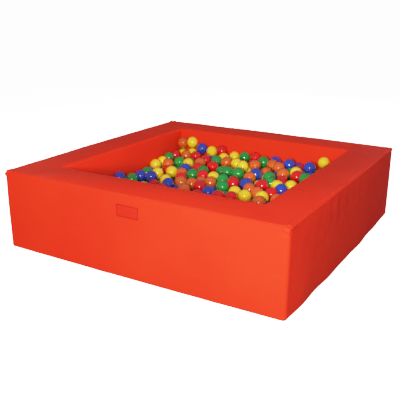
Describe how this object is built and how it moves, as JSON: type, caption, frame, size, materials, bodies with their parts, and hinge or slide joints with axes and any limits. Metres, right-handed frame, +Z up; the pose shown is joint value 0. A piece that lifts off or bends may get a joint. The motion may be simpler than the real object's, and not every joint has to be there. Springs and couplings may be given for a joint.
{
  "type": "ball pit",
  "caption": "Square soft-play ball pit: foam walls in zipped red-orange vinyl covers round a floor mat, filled with coloured play balls.",
  "frame": {"origin": "on the floor, under the middle of the pit", "axes": "+Z up; the wall with the sewn patch faces -Y; +X to the right as seen from that side"},
  "size_m": [1.518, 1.518, 0.404],
  "materials": {
    "wall_vinyl": "glossy red-orange vinyl-coated cloth with a fine leather-like grain",
    "patch_vinyl": "glossy red vinyl patch, sewn on, bare",
    "mat_vinyl": "satin red vinyl-coated cloth",
    "foam": "open-cell upholstery foam",
    "zip_nylon": "black woven zip tape and nylon coil",
    "zip_metal": "plated zip slider",
    "hook_tape": "black hook tape",
    "loop_tape": "black loop tape",
    "ball_mix": "packed glossy polyethylene play balls in five colours",
    "ball_blue": "glossy blue polyethylene",
    "ball_green": "glossy green polyethylene",
    "ball_yellow": "glossy yellow polyethylene",
    "ball_orange": "glossy orange polyethylene",
    "ball_red": "glossy red polyethylene"
  },
  "bodies": {
    "pit": {"front_cover": "wall_vinyl", "front_foam_core": "foam", "front_zip": "zip_nylon", "front_hook_strip": "hook_tape", "front_loop_strip": "loop_tape", "front_patch": "patch_vinyl", "right_cover": "wall_vinyl", "right_foam_core": "foam", "right_zip": "zip_nylon", "right_hook_strip": "hook_tape", "right_loop_strip": "loop_tape", "back_cover": "wall_vinyl", "back_foam_core": "foam", "back_zip": "zip_nylon", "back_hook_strip": "hook_tape", "back_loop_strip": "loop_tape", "left_cover": "wall_vinyl", "left_foam_core": "foam", "left_zip": "zip_nylon", "left_hook_strip": "hook_tape", "left_loop_strip": "loop_tape", "mat_cover": "mat_vinyl", "mat_foam_core": "foam", "mat_zip": "zip_nylon", "ball_bed": "ball_mix"},
    "front_zip_slider": {"front_zip_slider": "zip_metal"},
    "right_zip_slider": {"right_zip_slider": "zip_metal"},
    "back_zip_slider": {"back_zip_slider": "zip_metal"},
    "left_zip_slider": {"left_zip_slider": "zip_metal"},
    "mat_zip_slider": {"mat_zip_slider": "zip_metal"},
    "blue_ball_1": {"blue_ball_1": "ball_blue"},
    "blue_ball_2": {"blue_ball_2": "ball_blue"},
    "blue_ball_3": {"blue_ball_3": "ball_blue"},
    "blue_ball_4": {"blue_ball_4": "ball_blue"},
    "blue_ball_5": {"blue_ball_5": "ball_blue"},
    "blue_ball_6": {"blue_ball_6": "ball_blue"},
    "green_ball_1": {"green_ball_1": "ball_green"},
    "green_ball_2": {"green_ball_2": "ball_green"},
    "green_ball_3": {"green_ball_3": "ball_green"},
    "green_ball_4": {"green_ball_4": "ball_green"},
    "green_ball_5": {"green_ball_5": "ball_green"},
    "green_ball_6": {"green_ball_6": "ball_green"},
    "green_ball_7": {"green_ball_7": "ball_green"},
    "orange_ball_1": {"orange_ball_1": "ball_orange"},
    "red_ball_1": {"red_ball_1": "ball_red"},
    "red_ball_2": {"red_ball_2": "ball_red"},
    "red_ball_3": {"red_ball_3": "ball_red"},
    "red_ball_4": {"red_ball_4": "ball_red"},
    "red_ball_5": {"red_ball_5": "ball_red"},
    "yellow_ball_1": {"yellow_ball_1": "ball_yellow"},
    "yellow_ball_2": {"yellow_ball_2": "ball_yellow"},
    "yellow_ball_3": {"yellow_ball_3": "ball_yellow"},
    "yellow_ball_4": {"yellow_ball_4": "ball_yellow"},
    "yellow_ball_5": {"yellow_ball_5": "ball_yellow"},
    "yellow_ball_6": {"yellow_ball_6": "ball_yellow"},
    "yellow_ball_7": {"yellow_ball_7": "ball_yellow"}
  },
  "joints": [
    {"name": "front_zip_run", "type": "slide", "parent": "pit", "child": "front_zip_slider", "axis": [1, 0, 0], "range_m": [0, 0.8648]},
    {"name": "right_zip_run", "type": "slide", "parent": "pit", "child": "right_zip_slider", "axis": [0, 1, 0], "range_m": [0, 0.8648]},
    {"name": "back_zip_run", "type": "slide", "parent": "pit", "child": "back_zip_slider", "axis": [-1, 0, 0], "range_m": [0, 0.8648]},
    {"name": "left_zip_run", "type": "slide", "parent": "pit", "child": "left_zip_slider", "axis": [0, -1, 0], "range_m": [0, 0.8648]},
    {"name": "mat_zip_run", "type": "slide", "parent": "pit", "child": "mat_zip_slider", "axis": [1, 0, 0], "range_m": [0, 0.8648]},
    {"name": "blue_ball_1_lift", "type": "slide", "parent": "pit", "child": "blue_ball_1", "axis": [0, 0, 1], "range_m": [0, 0.2]},
    {"name": "blue_ball_2_lift", "type": "slide", "parent": "pit", "child": "blue_ball_2", "axis": [0, 0, 1], "range_m": [0, 0.2]},
    {"name": "blue_ball_3_lift", "type": "slide", "parent": "pit", "child": "blue_ball_3", "axis": [0, 0, 1], "range_m": [0, 0.2]},
    {"name": "blue_ball_4_lift", "type": "slide", "parent": "pit", "child": "blue_ball_4", "axis": [0, 0, 1], "range_m": [0, 0.2]},
    {"name": "blue_ball_5_lift", "type": "slide", "parent": "pit", "child": "blue_ball_5", "axis": [0, 0, 1], "range_m": [0, 0.2]},
    {"name": "blue_ball_6_lift", "type": "slide", "parent": "pit", "child": "blue_ball_6", "axis": [0, 0, 1], "range_m": [0, 0.2]},
    {"name": "green_ball_1_lift", "type": "slide", "parent": "pit", "child": "green_ball_1", "axis": [0, 0, 1], "range_m": [0, 0.2]},
    {"name": "green_ball_2_lift", "type": "slide", "parent": "pit", "child": "green_ball_2", "axis": [0, 0, 1], "range_m": [0, 0.2]},
    {"name": "green_ball_3_lift", "type": "slide", "parent": "pit", "child": "green_ball_3", "axis": [0, 0, 1], "range_m": [0, 0.2]},
    {"name": "green_ball_4_lift", "type": "slide", "parent": "pit", "child": "green_ball_4", "axis": [0, 0, 1], "range_m": [0, 0.2]},
    {"name": "green_ball_5_lift", "type": "slide", "parent": "pit", "child": "green_ball_5", "axis": [0, 0, 1], "range_m": [0, 0.2]},
    {"name": "green_ball_6_lift", "type": "slide", "parent": "pit", "child": "green_ball_6", "axis": [0, 0, 1], "range_m": [0, 0.2]},
    {"name": "green_ball_7_lift", "type": "slide", "parent": "pit", "child": "green_ball_7", "axis": [0, 0, 1], "range_m": [0, 0.2]},
    {"name": "orange_ball_1_lift", "type": "slide", "parent": "pit", "child": "orange_ball_1", "axis": [0, 0, 1], "range_m": [0, 0.2]},
    {"name": "red_ball_1_lift", "type": "slide", "parent": "pit", "child": "red_ball_1", "axis": [0, 0, 1], "range_m": [0, 0.2]},
    {"name": "red_ball_2_lift", "type": "slide", "parent": "pit", "child": "red_ball_2", "axis": [0, 0, 1], "range_m": [0, 0.2]},
    {"name": "red_ball_3_lift", "type": "slide", "parent": "pit", "child": "red_ball_3", "axis": [0, 0, 1], "range_m": [0, 0.2]},
    {"name": "red_ball_4_lift", "type": "slide", "parent": "pit", "child": "red_ball_4", "axis": [0, 0, 1], "range_m": [0, 0.2]},
    {"name": "red_ball_5_lift", "type": "slide", "parent": "pit", "child": "red_ball_5", "axis": [0, 0, 1], "range_m": [0, 0.2]},
    {"name": "yellow_ball_1_lift", "type": "slide", "parent": "pit", "child": "yellow_ball_1", "axis": [0, 0, 1], "range_m": [0, 0.2]},
    {"name": "yellow_ball_2_lift", "type": "slide", "parent": "pit", "child": "yellow_ball_2", "axis": [0, 0, 1], "range_m": [0, 0.2]},
    {"name": "yellow_ball_3_lift", "type": "slide", "parent": "pit", "child": "yellow_ball_3", "axis": [0, 0, 1], "range_m": [0, 0.2]},
    {"name": "yellow_ball_4_lift", "type": "slide", "parent": "pit", "child": "yellow_ball_4", "axis": [0, 0, 1], "range_m": [0, 0.2]},
    {"name": "yellow_ball_5_lift", "type": "slide", "parent": "pit", "child": "yellow_ball_5", "axis": [0, 0, 1], "range_m": [0, 0.2]},
    {"name": "yellow_ball_6_lift", "type": "slide", "parent": "pit", "child": "yellow_ball_6", "axis": [0, 0, 1], "range_m": [0, 0.2]},
    {"name": "yellow_ball_7_lift", "type": "slide", "parent": "pit", "child": "yellow_ball_7", "axis": [0, 0, 1], "range_m": [0, 0.2]}
  ]
}
